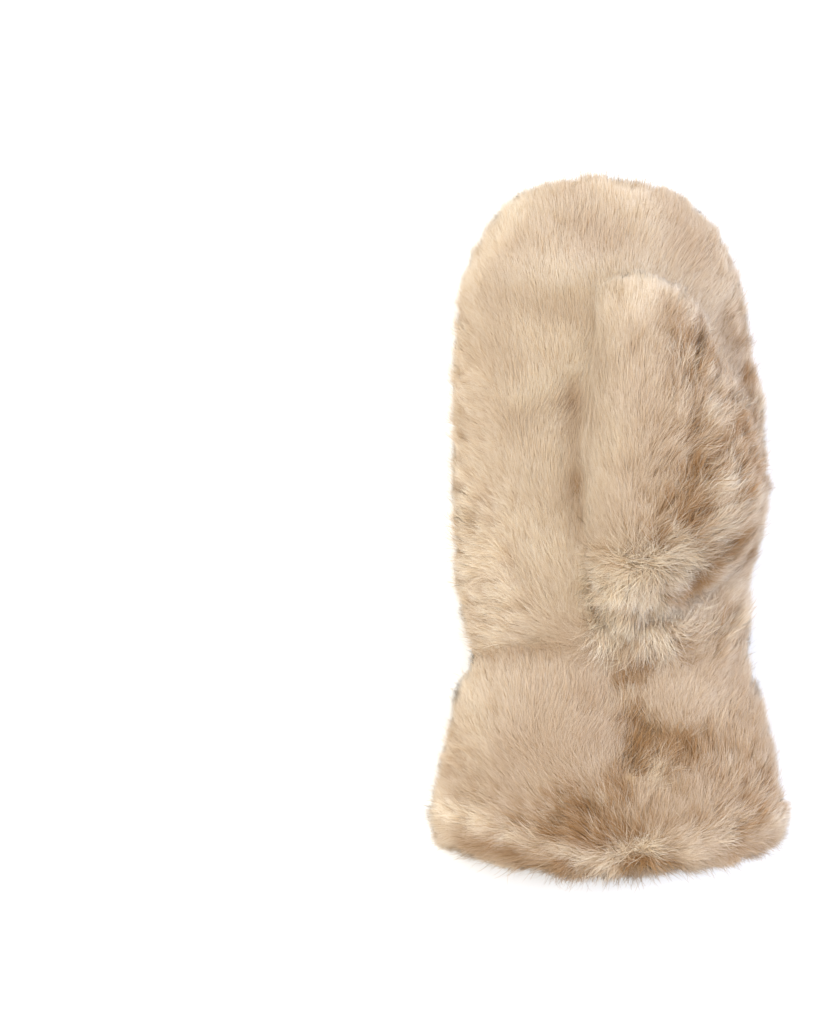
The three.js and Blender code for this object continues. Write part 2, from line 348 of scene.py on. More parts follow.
def nearest_node(points, nodes):
    """The number of the CAD piece that is nearest to each point."""
    trees = [search_tree([node]) for node in nodes]
    return np.array(
        [np.argmin([tree.find_nearest(point)[3] for tree in trees]) for point in points.tolist()]
    )


def rounded(nodes):
    """CAD pieces as one mesh with even faces and soft edges, grown together at their seams."""
    points, triangles = joined(nodes)
    rough_mesh = bpy.data.meshes.new("rough")
    rough_mesh.from_pydata(points * MM, [], triangles.tolist())
    rough = bpy.data.objects.new("rough", rough_mesh)
    bpy.context.scene.collection.objects.link(rough)
    weld = rough.modifiers.new("weld", "WELD")
    weld.merge_threshold = 0.01 * MM
    growth = rough.modifiers.new("growth", "DISPLACE")
    growth.mid_level = 0.0
    growth.strength = SEAM_ALLOWANCE * MM if len(nodes) > 1 else 0.0
    remesh = rough.modifiers.new("even_faces", "REMESH")
    remesh.mode = "VOXEL"
    remesh.voxel_size = VOXEL * MM
    rounding = rough.modifiers.new("rounding", "SMOOTH")
    rounding.factor = 0.5
    rounding.iterations = 8
    depsgraph = bpy.context.evaluated_depsgraph_get()
    whole = bpy.data.meshes.new_from_object(rough.evaluated_get(depsgraph))
    bpy.data.objects.remove(rough)
    return whole


def underfur(marks_of, rng):
    """CAD pieces as rounded sheets, sunk to the top of their underfur where they can be seen.

    Pieces that are sewn together come out with a common edge. The sheets are by CAD piece.
    """
    nodes = list(marks_of)
    whole = rounded(nodes)
    points, normals, _ = mesh_arrays(whole)
    faces = [list(face.vertices) for face in whole.polygons]
    point_owner = nearest_node(points, nodes)
    face_owner = nearest_node(np.array([points[face].mean(0) for face in faces]), nodes)

    seen = np.flatnonzero(open_to_view(points, normals))
    tree = KDTree(len(seen))
    for index in seen:
        tree.insert(points[index], index)
    tree.balance()
    nearest = [tree.find(point) for point in points]
    seen_from = np.array([index for _, index, _ in nearest])
    depth = np.array([distance for _, _, distance in nearest])
    sink = np.zeros(len(points))
    for number, marks in enumerate(marks_of.values()):
        mine = point_owner == number
        x, y = points[mine, 0], points[mine, 1]
        sink[mine] = loft_at(marks, x, y) + DENT * marks_at(marks, "press", x, y)
    sink += LOOK["undulation"] * ripple(points, LOOK["undulation_size"], rng)
    points -= normals[seen_from] * np.maximum(sink - depth, 0)[:, None]
    points[:, 2] = np.maximum(points[:, 2], FLOOR_CLEARANCE)
    furry = depth < 2 * VOXEL

    sheets = {}
    for number, node in enumerate(nodes):
        own_faces = [face for face, owner in zip(faces, face_owner) if owner == number]
        used = np.unique(np.concatenate(own_faces))
        new_number = np.zeros(len(points), int)
        new_number[used] = np.arange(len(used))
        mesh = bpy.data.meshes.new(node + "_underfur")
        mesh.from_pydata(points[used] * MM, [], [new_number[face].tolist() for face in own_faces])
        mesh.polygons.foreach_set("use_smooth", np.ones(len(own_faces), bool))
        mesh.materials.append(knit_backing)
        mesh.materials.append(dense_underfur)
        covered = np.array([furry[face].all() for face in own_faces], np.int32)
        mesh.polygons.foreach_set("material_index", covered)
        mesh.update()
        sheets[node] = bpy.data.objects.new(node + "_underfur", mesh)
        bpy.context.scene.collection.objects.link(sheets[node])
        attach(sheets[node], "root")
        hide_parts(node)
    return sheets


def scatter(sheet, density_at, rng):
    """Random roots with the normals there. Density is in hairs on a square millimetre."""
    points, normals, triangles = mesh_arrays(sheet.data)
    slot = np.empty(len(sheet.data.loop_triangles), np.int32)
    sheet.data.loop_triangles.foreach_get("material_index", slot)
    triangles = triangles[slot == 1]
    a, b, c = (points[triangles[:, corner]] for corner in range(3))
    area = np.linalg.norm(np.cross(b - a, c - a), axis=-1) / 2
    share = area * density_at((a + b + c) / 3, normals[triangles].mean(1))
    count = int(share.sum())
    picks = (np.arange(count) + rng.random(count)) * share.sum() / count
    chosen = np.searchsorted(np.cumsum(share), picks)
    chosen = triangles[np.minimum(chosen, len(triangles) - 1)]
    inward = np.sqrt(rng.random((count, 1)))
    turn = rng.random((count, 1))
    weights = np.concatenate([1 - inward, inward * (1 - turn), inward * turn], 1)[..., None]
    return (points[chosen] * weights).sum(1), unit((normals[chosen] * weights).sum(1))


def combed(comb, x, y):
    """The way that the nap lies in plan, shorter than 1 where it parts or meets."""
    east, north, total = (np.zeros(x.shape) for _ in range(3))
    softness = 5.0
    for gx, gy, angle in zip(comb["x"], comb["y"], np.radians(comb["angle"])):
        weight = ((x - gx) ** 2 + (y - gy) ** 2 + softness**2) ** -2.0
        east += weight * np.cos(angle)
        north += weight * np.sin(angle)
        total += weight
    return np.stack([east / total, north / total, np.zeros(x.shape)], -1)


def ripple(points, wavelength, rng):
    """Smooth noise of about -1 to 1 at points, with this wavelength in millimetres."""
    waves = 8
    total = np.zeros(len(points))
    for _ in range(waves):
        direction = unit(rng.normal(size=3)) * 2 * math.pi / (wavelength * rng.uniform(0.7, 1.5))
        total += np.sin(points @ direction + rng.uniform(0, 2 * math.pi))
    return total / math.sqrt(waves)


def nearest_of(points, spacing, sheet_area, rng):
    """Centres chosen among the points, about this far apart, and the nearest one of each point.

    Gives its number among the points and among the centres, and how many centres there are.
    """
    count = max(int(sheet_area / spacing**2), 4)
    chosen = rng.choice(len(points), count, replace=False)
    tree = KDTree(count)
    for number, index in enumerate(chosen):
        tree.insert(points[index], number)
    tree.balance()
    owner = np.array([tree.find(point)[1] for point in points])
    return chosen[owner], owner, count


def held_to_form(curves, allowed):
    """Bends strands back whose tips stand further out of the outer form than allowed."""
    back = np.zeros((len(curves), 3))
    for number, tip in enumerate(curves[:, -1].tolist()):
        place, normal, _, _ = cad_faces.find_nearest(tip)
        proud = (Vector(tip) - place).dot(normal) - allowed[number]
        if proud > 0:
            back[number] = normal * proud
    return curves - back[:, None] * RING_BEND


# Along a hair: how far each ring is from the root, the hair's width there, and how much it has
# by then of its height, its reach, its lock's pull and a bend back to the outer form
RING_AT = np.array([0.0, 0.36, 0.7, 1.0])
RING_WIDTH = np.array([1.0, 0.95, 0.7, 0.0])
RING_PLACE = RING_AT[:, None]
RING_HEIGHT = 1 - (1 - RING_PLACE) ** 2.0
RING_REACH = RING_PLACE**1.25
RING_PULL = RING_PLACE**1.2
RING_BEND = RING_PLACE**1.5

# A hair's UV is its tone across, spread this wide, and the way along it up, both this far
# inside the square. A ground hair starts further up, because other hairs shade its root.
TONE_WIDTH = 0.003
RAMP_MARGIN = 0.01
GROUND_SHADED = 0.3


def hair_mesh(name, curves, sides, widths, facing, tones, rings):
    """Joins tapered ribbons with these rings, one for every curve, in one mesh."""
    count, last = len(curves), len(rings) - 1
    half = sides[:, rings[:-1]] * (widths[:, None] * RING_WIDTH[rings[:-1]])[..., None] / 2
    middle = curves[:, rings[:-1]]
    pairs = np.stack([middle - half, middle + half], 2).reshape(count, 2 * last, 3)
    points = np.concatenate([pairs, curves[:, -1:]], 1)
    points[..., 2] = np.maximum(points[..., 2], FLOOR_CLEARANCE)
    faces = [[2 * ring, 2 * ring + 1, 2 * ring + 3, 2 * ring + 2] for ring in range(last - 1)]
    faces.append([2 * last - 2, 2 * last - 1, 2 * last])
    corners = np.concatenate(faces)
    order = (np.arange(count)[:, None] * (2 * last + 1) + corners).ravel()
    starts = (np.arange(count)[:, None] * len(corners) + 4 * np.arange(last)).ravel()
    mesh = bpy.data.meshes.new(name)
    mesh.vertices.add(count * (2 * last + 1))
    mesh.vertices.foreach_set("co", (points * MM).astype(np.float32).ravel())
    mesh.loops.add(len(order))
    mesh.loops.foreach_set("vertex_index", order.astype(np.int32))
    mesh.polygons.add(len(starts))
    mesh.polygons.foreach_set("loop_start", starts.astype(np.int32))
    mesh.update(calc_edges=True)
    across = np.append(np.tile([-TONE_WIDTH, TONE_WIDTH], last), 0.0)
    shaded = RAMP_MARGIN if last > 1 else GROUND_SHADED
    along = shaded + np.append(np.repeat(RING_AT[rings[:-1]], 2), 1.0) * (1 - RAMP_MARGIN - shaded)
    u = np.clip(tones, RAMP_MARGIN, 1 - RAMP_MARGIN)[:, None] + across
    uv = np.stack([u, np.broadcast_to(along, u.shape)], -1).reshape(-1, 2)[order]
    mesh.uv_layers.new(name="OFBake").data.foreach_set("uv", uv.astype(np.float32).ravel())
    mesh.polygons.foreach_set("use_smooth", np.ones(len(starts), bool))
    normals = np.concatenate([np.repeat(facing[:, rings[:-1]], 2, axis=1), facing[:, -1:]], 1)
    mesh.normals_split_custom_set_from_vertices(normals.reshape(-1, 3).astype(np.float32))
    return mesh


def gathered(roots, lock, ruffled, sheet_area, rng):
    """How hairs change together, in slow waves and in locks and wisps.

    Gives the turn of each in radians, its lift, its tone, its pull to the middle of what it
    gathers in, and the phase of its crimp.
    """
    turn = np.radians(LOOK["swirl"]) * ripple(roots, LOOK["swirl_size"], rng)
    lift = LOOK["swell"] * ripple(roots, LOOK["swell_size"], rng)
    tone = LOOK["tone"] + LOOK["cloud"] * ripple(roots, LOOK["cloud_size"], rng)
    pull = np.zeros((len(roots), 3))
    phase = np.zeros(len(roots))
    for spacing, in_locks, gather, swing, rise, shade, painted_crown in zip(*GATHERINGS.values()):
        strength = lock if in_locks else ruffled
        centre, owner, groups = nearest_of(roots, spacing, sheet_area, rng)
        off_centre = np.linalg.norm(roots[centre] - roots, axis=-1) / spacing
        pull += (roots[centre] - roots - pull) * (gather * strength)[:, None]
        turn += np.radians(swing) * strength * rng.normal(size=groups)[owner]
        lift += rise * strength * rng.normal(size=groups)[owner]
        # Painted light on each gathering's middle and painted shade at its edges
        painted_lock_light = painted_crown * strength * (EVEN_TONE_AT - off_centre)
        tone += shade * strength * rng.normal(size=groups)[owner] + painted_lock_light
        phase += rng.uniform(0, 2 * math.pi, groups)[owner]
    return turn, lift, tone, pull, phase


def standing(roots, loose, guard, smooth_height, ruffled, press, rng):
    """How high hairs stand, how far each tip may stand out of the outer form, and which of the
    hairs are whiskers. Loose is how far a hair points away from its panel.
    """
    count = len(roots)
    height = smooth_height * (1 + rng.uniform(*LOOK["uneven"], count) * ruffled)
    tuft = ripple(roots, LOOK["tuft_size"], rng)
    spread = rng.uniform(-1, 1, count) * LOOK["looseness"] + tuft * LOOK["tufted"]
    height = height * (1 + spread * loose)
    height = height * np.where(guard, 1.0, LOOK["ground_height"]) + LOOK["outward"] * loose
    allowed = LOOK["proud"] * (1 - loose) - LOOK["trimmed"] * loose + LOOK["tufts"] * tuft
    allowed += rng.exponential(LOOK["fuzz"], count) * (1 + LOOK["loose_fuzz"] * loose)
    whisker_share = LOOK["whiskers"] + LOOK["fringe"] * np.maximum(press, 0)
    whisker = rng.random(count) < whisker_share * loose * guard
    allowed += np.where(whisker, rng.uniform(*LOOK["whisker_range"], count), 0)
    allowed -= DENT * np.where(whisker, np.minimum(press, 0), press)
    height += np.where(whisker, LOOK["whisker_height"], 0)
    return height, allowed, whisker


def grow(roots, normals, guard, sheet_area, comb, marks, rng):
    """Hairs on roots, combed, gathered in locks and wisps, and pressed in the creases.

    Gives their curves, their sides, widths, normals and tones.
    """
    count = len(roots)
    x, y = roots[:, 0], roots[:, 1]
    lock = lock_at(marks, x, y)
    press = marks_at(marks, "press", x, y)
    ruffled = LOOK["least_ruffled"] + (1 - LOOK["least_ruffled"]) * lock
    nap = combed(comb, x, y)
    parted = 1 - np.linalg.norm(nap, axis=-1)
    nap = unit(nap)
    turn, lift, tone, pull, phase = gathered(roots, lock, ruffled, sheet_area, rng)
    stray_share = LOOK["smooth_stray"] + (1 - LOOK["smooth_stray"]) * ruffled
    stray = LOOK["stray"] * stray_share + LOOK["parted_stray"] * parted
    turn += np.radians(stray) * rng.normal(size=count)
    tone += LOOK["strand_tone"] * ruffled * rng.normal(size=count)
    cos, sin = np.cos(turn), np.sin(turn)
    east, north = nap[:, 0] * cos - nap[:, 1] * sin, nap[:, 0] * sin + nap[:, 1] * cos
    nap = np.stack([east, north, nap[:, 2]], -1)
    outward = np.sum(nap * normals, -1)
    lean = nap - normals * outward[:, None]
    loose = np.maximum(outward, 0)
    smooth_height = loft_at(marks, x, y) * (1 + lift)
    height, allowed, whisker = standing(roots, loose, guard, smooth_height, ruffled, press, rng)

    reach = np.where(guard, LOOK["reach"], LOOK["ground_reach"])
    reach = reach * rng.uniform(*LOOK["reach_range"], count)
    whisker_shade = LOOK["whisker_shade"] + LOOK["fringe_shade"] * np.maximum(press, 0)
    tone -= np.where(whisker, whisker_shade, 0)
    # The marks' tones are painted light and shade, laid on each hair where it is seen and faded on
    # fur that faces sideways.
    over_x, over_y = (roots + lean * reach[:, None] * LOOK["seen_at"]).T[:2]
    fade = 1 - LOOK["side_fade"] * normals[:, 0] ** 2
    tone += marks_at(marks, "tone", over_x, over_y) * fade

    curves = roots[:, None] + normals[:, None] * height[:, None, None] * RING_HEIGHT
    reach = reach * (LOOK["smooth_reach"] + LOOK["lock_reach"] * lock)
    curves = curves + lean[:, None] * reach[:, None, None] * RING_REACH
    curves = curves + pull[:, None] * RING_PULL
    aside = unit(np.cross(normals, lean))
    wave = np.sin(phase[:, None, None] + RING_PLACE * LOOK["crimp"]) * RING_PLACE * LOOK["wave"]
    frizz = rng.normal(0, LOOK["frizz"], (count, 1, 3)) * RING_PLACE**2
    curves = curves + (aside[:, None] * wave + frizz) * ruffled[:, None, None]
    held = guard | (press > LOOK["pressed"])
    curves[held] = held_to_form(curves[held], allowed[held])
    curves[..., 2] = np.maximum(curves[..., 2], FLOOR_CLEARANCE)

    tip = len(RING_AT) - 1
    ahead = [
        curves[:, min(ring + 1, tip)] - curves[:, max(ring - 1, 0)] for ring in range(tip + 1)
    ]
    along = unit(np.stack(ahead, 1))
    twist = rng.normal(0, LOOK["twist"], (count, 1, 3)) * ruffled[:, None, None]
    sides = unit(np.cross(along, normals[:, None] + twist))
    out = np.cross(sides, along)
    out *= np.sign(np.sum(out * normals[:, None], -1, keepdims=True) + 1e-9)
    own_normal = (LOOK["own_normal"] * ruffled)[:, None, None]
    soft_normals = unit(normals + np.array([0, 0, LOOK["upward"]]))
    facing = unit(out * own_normal + soft_normals[:, None] * (1 - own_normal))
    widths = np.where(guard, LOOK["width"], LOOK["ground_width"])
    widths = widths * rng.uniform(*LOOK["width_range"], count) * (1 - LOOK["narrowed"] * loose)
    return curves, sides, widths, facing, tone


# Faux fur is crimped modacrylic fibre: dull with a faint silky sheen, slightly see-through,
# painted darker towards its root as painted shade, because less light gets there, and paler at its
# tip, partly its own paler tip and partly painted light: the near-white last stop stands for light
# shining through the tips. A hair is 0.05 mm thick, too fine to show, so a strand stands for a few
# of them and is drawn wider.
DARK_HAIR = [(0.0, "#6f4c2a"), (0.3, "#8f673c"), (0.7, "#aa8152"), (1.0, "#c2a27c")]
PALE_HAIR = [(0.0, "#c8a980"), (0.3, "#e8d2b2"), (0.7, "#f7ecd6"), (1.0, "#fffcf7")]
SEE_THROUGH = 0.35
faux_fur = new_material("crimped_modacrylic_pile")
strand_place = add_node(faux_fur, "ShaderNodeUVMap", {"uv_map": "OFBake"})
split = add_node(faux_fur, "ShaderNodeSeparateXYZ", links={"Vector": strand_place.outputs["UV"]})
dark_hair, pale_hair = (
    add_node(faux_fur, "ShaderNodeValToRGB", links={"Fac": split.outputs["Y"]}, stops=stops)
    for stops in (DARK_HAIR, PALE_HAIR)
)
hair_colour = add_node(
    faux_fur,
    "ShaderNodeMix",
    {"data_type": "RGBA"},
    {0: split.outputs["X"], 6: dark_hair.outputs["Color"], 7: pale_hair.outputs["Color"]},
)
fibre = add_node(
    faux_fur,
    "ShaderNodeBsdfPrincipled",
    {"Roughness": 0.6, "IOR": 1.5, "Specular IOR Level": 0.3},
    {"Base Color": hair_colour.outputs[2]},
)
glow = add_node(faux_fur, "ShaderNodeBsdfTranslucent", links={"Color": hair_colour.outputs[2]})
lit_fibre = add_node(
    faux_fur,
    "ShaderNodeMixShader",
    {0: SEE_THROUGH},
    {1: fibre.outputs["BSDF"], 2: glow.outputs["BSDF"]},
)
add_node(faux_fur, "ShaderNodeOutputMaterial", links={"Surface": lit_fibre.outputs["Shader"]})

# The underfur is the same fibre cut short, so dense that it looks like a soft felt, with about 0.9
# small clumps to a millimetre. Its colour is darker than the hairs' as painted shade, the shade
# deep down in the fur.
CLUMPS = 0.9
dense_underfur = new_material("short_modacrylic_underfur")
felt_place = add_node(dense_underfur, "ShaderNodeTexCoord")
felt_noise = add_node(
    dense_underfur,
    "ShaderNodeTexNoise",
    {"Scale": CLUMPS / MM, "Detail": 3.0},
    {"Vector": felt_place.outputs["Object"]},
)
felt_colour_and_painted_shade = add_node(
    dense_underfur,
    "ShaderNodeValToRGB",
    links={"Fac": felt_noise.outputs["Fac"]},
    stops=[(0.3, "#b8a07f"), (0.7, "#cbb493")],
)
felt = add_node(
    dense_underfur,
    "ShaderNodeBsdfPrincipled",
    {"Roughness": 0.95, "Specular IOR Level": 0.1},
    {"Base Color": felt_colour_and_painted_shade.outputs["Color"]},
)
add_node(dense_underfur, "ShaderNodeOutputMaterial", links={"Surface": felt.outputs["BSDF"]})

# The backing is warp-knitted polyester: matt, with small V-shaped stitches in upright wales.
# These are the spacings of the wales and the courses, how far a stitch's middle is off from
# its sides, in radians of a course, and how deep it is.
WALE = 1.3
COURSE = 0.9
STITCH_RISE = 2.5
STITCH_DEPTH = 0.15
knit_backing = new_material("warp_knitted_polyester")
knit_place = add_node(knit_backing, "ShaderNodeTexCoord")
across_wales = add_node(
    knit_backing,
    "ShaderNodeVectorMath",
    {"operation": "DOT_PRODUCT", 1: (math.pi / (WALE * MM), 0.0, math.pi / (WALE * MM))},
    {0: knit_place.outputs["Object"]},
)
along_wales = add_node(
    knit_backing,
    "ShaderNodeVectorMath",
    {"operation": "DOT_PRODUCT", 1: (0.0, 2 * math.pi / (COURSE * MM), 0.0)},
    {0: knit_place.outputs["Object"]},
)

# Each row adds a math node: the name of its result, its operation, and its numbers or the
# names of the results that it takes.
knit_steps = {"across": across_wales.outputs["Value"], "along": along_wales.outputs["Value"]}
for result, operation, *values in (
    ("fold", "SINE", "across"),
    ("wale", "ABSOLUTE", "fold"),
    ("slant", "MULTIPLY_ADD", "wale", STITCH_RISE, "along"),
    ("course", "SINE", "slant"),
    ("height", "MULTIPLY_ADD", "course", 0.5, 0.5),
    ("stitch", "MULTIPLY", "height", "wale"),
):
    numbers = {place: value for place, value in enumerate(values) if isinstance(value, float)}
    sources = {
        place: knit_steps[value] for place, value in enumerate(values) if isinstance(value, str)
    }
    step = add_node(knit_backing, "ShaderNodeMath", {"operation": operation, **numbers}, sources)
    knit_steps[result] = step.outputs["Value"]

# The yarn is painted darker down in the gaps between the stitches, as painted shade, and paler on
# their tops.
knit_colour_and_painted_shade = add_node(
    knit_backing,
    "ShaderNodeValToRGB",
    links={"Fac": knit_steps["stitch"]},
    stops=[(0.0, "#9c7f5e"), (0.8, "#d3b892")],
)
knit_relief = add_node(
    knit_backing,
    "ShaderNodeBump",
    {"Distance": STITCH_DEPTH * MM},
    {"Height": knit_steps["stitch"]},
)
knit = add_node(
    knit_backing,
    "ShaderNodeBsdfPrincipled",
    {"Roughness": 0.9, "Specular IOR Level": 0.2},
    {"Base Color": knit_colour_and_painted_shade.outputs["Color"], "Normal": knit_relief.outputs["Normal"]},
)
add_node(knit_backing, "ShaderNodeOutputMaterial", links={"Surface": knit.outputs["BSDF"]})

# Fur whose normal points down further than this lies on the table.
FACES_TABLE = -0.9


def add_fur(sheet, slot, comb, marks, rng, parts=None):
    """Grows guard and ground hairs on a sheet, as a piece each for each part of the roots."""

    def densities(points, normals):
        """The densities of guard and of ground hairs, thinned out on the table."""
        lock = lock_at(marks, points[:, 0], points[:, 1])
        thinned = np.where(normals[:, 2] < FACES_TABLE, LOOK["underside_density"], 1.0)
        kinds = (LOOK["guard_density"], LOOK["ground_density"])
        return [thinned * (smooth + (ruffled - smooth) * lock) for smooth, ruffled in kinds]

    roots, normals = scatter(sheet, lambda points, normals: sum(densities(points, normals)), rng)
    guard_density, ground_density = densities(roots, normals)
    area = (1 / (guard_density + ground_density)).sum()
    guard = rng.random(len(roots)) < guard_density / (guard_density + ground_density)
    hairs = grow(roots, normals, guard, area, comb, marks, rng)
    whole = {"": np.ones(len(roots), bool)}
    for part, in_part in (parts(roots) if parts else whole).items():
        for kind, chosen, rings in (("guard", guard, [0, 1, 2, 3]), ("ground", ~guard, [0, 3])):
            name = f"{slot}{part}_{kind}_hairs"
            mesh = hair_mesh(name, *(values[chosen & in_part] for values in hairs), rings)
            mesh.materials.append(faux_fur)
            strands = bpy.data.objects.new(name, mesh)
            bpy.context.scene.collection.objects.link(strands)
            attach(strands, "root")


# The way that the nap of the fur lies at places in plan, in millimetres and degrees
BACK_COMB = table(
    "x y angle",
    [
        (-50, 100, 125), (0, 125, 90), (45, 100, 60), (-57, 50, 140), (0, 60, 90), (55, 50, 48),
        (-57, 0, 145), (-20, 10, 100), (20, 0, 75), (57, 0, 45), (-50, -40, 165), (0, -45, 92),
        (48, -40, 30), (-57, -85, 145), (0, -85, 90), (57, -85, 50), (-50, -115, 155),
        (0, -112, 95), (50, -115, 35), (-50, -132, 225), (0, -138, 270), (50, -132, 315),
    ],
)

# Marks in the fur, as soft lines or spots in plan in millimetres: how much paler the fur is
# painted there, as painted light and shade, how far it is pressed in, and how much more it stands
# in locks. On the back the tone is painted shade along the hem's under-edge and in the gathers.
BACK_MARKS = table(
    "x0 y0 x1 y1 width tone press lock",
    [
        ("hem's dark edge", -58, -124, 58, -124, 6, -0.15, 0, 0),
        ("outer gather", -36, -66, -31, -38, 5, -0.04, 0.08, 0.4),
        ("middle gather", -12, -70, -8, -30, 5, -0.06, 0.1, 0.4),
        ("inner gather", 14, -62, 10, -36, 5, -0.04, 0.08, 0.4),
        ("last gather", 37, -68, 33, -34, 5, -0.05, 0.1, 0.4),
        ("hem's left part", -58, -126, -12, -139, 7, -0.2, 0.35, 0.3),
        ("hem's right part", 12, -139, 58, -126, 7, -0.2, 0.35, 0.3),
        ("hem's middle", -22, -139, 5, -139, 7, -0.25, 0.8, 0.3),
        ("top", -14, 138, 16, 138, 8, 0, 0.3, 0),
    ],
)

PALM_COMB = table(
    "x y angle",
    [
        (-6, 128, 90), (9, 133, 80), (-32, 123, 103), (-52, 102, 130), (-58, 77, 142),
        (-58, 51, 150), (-58, 31, 152), (-32, 56, 98), (-17, 46, 68), (-27, 26, 93),
        (-17, 102, 90), (-37, 97, 100), (24, 118, 68), (40, 108, 58), (50, 87, 58),
        (55, 62, 52), (58, 36, 46), (60, 15, 42), (-57, 8, 150), (-57, -12, 168),
        (-52, -28, 174), (-47, -42, 178), (-25, -12, 108), (-25, -28, 122), (-31, -39, 150),
        (-13, -28, 98), (-15, -7, 97), (-41, -60, 100), (-25, -65, 84), (-15, -70, 72),
        (-10, -81, 62), (-47, -76, 115), (-57, -86, 145), (-59, -97, 147), (-41, -97, 136),
        (-25, -102, 118), (-31, -112, 152), (-47, -116, 162), (-57, -112, 156), (-15, -112, 130),
        (1, -112, 112), (16, -112, 92), (32, -112, 76), (53, -116, 36), (64, -112, 32),
        (-36, -122, 182), (-22, -123, 178), (-8, -121, 160), (40, -121, 20), (26, -123, 12),
        (27, -97, 94), (38, -86, 86), (48, -102, 74), (59, -97, 62), (16, -95, 40),
        (11, -76, 94), (27, -44, 56), (38, -28, 52), (48, -23, 46), (53, -39, 45),
        (38, -49, 57), (48, -55, 60), (24, -57, 88), (18, -44, 290), (13, -38, 268),
        (4, -57, 100), (2, -40, 245), (8, -44, 265), (-62, -121, 215), (-47, -128, 208),
        (-41, -134, 235), (-15, -136, 255), (11, -138, 270), (27, -136, 290), (59, -128, 315),
        (43, -126, 300),
    ],
)
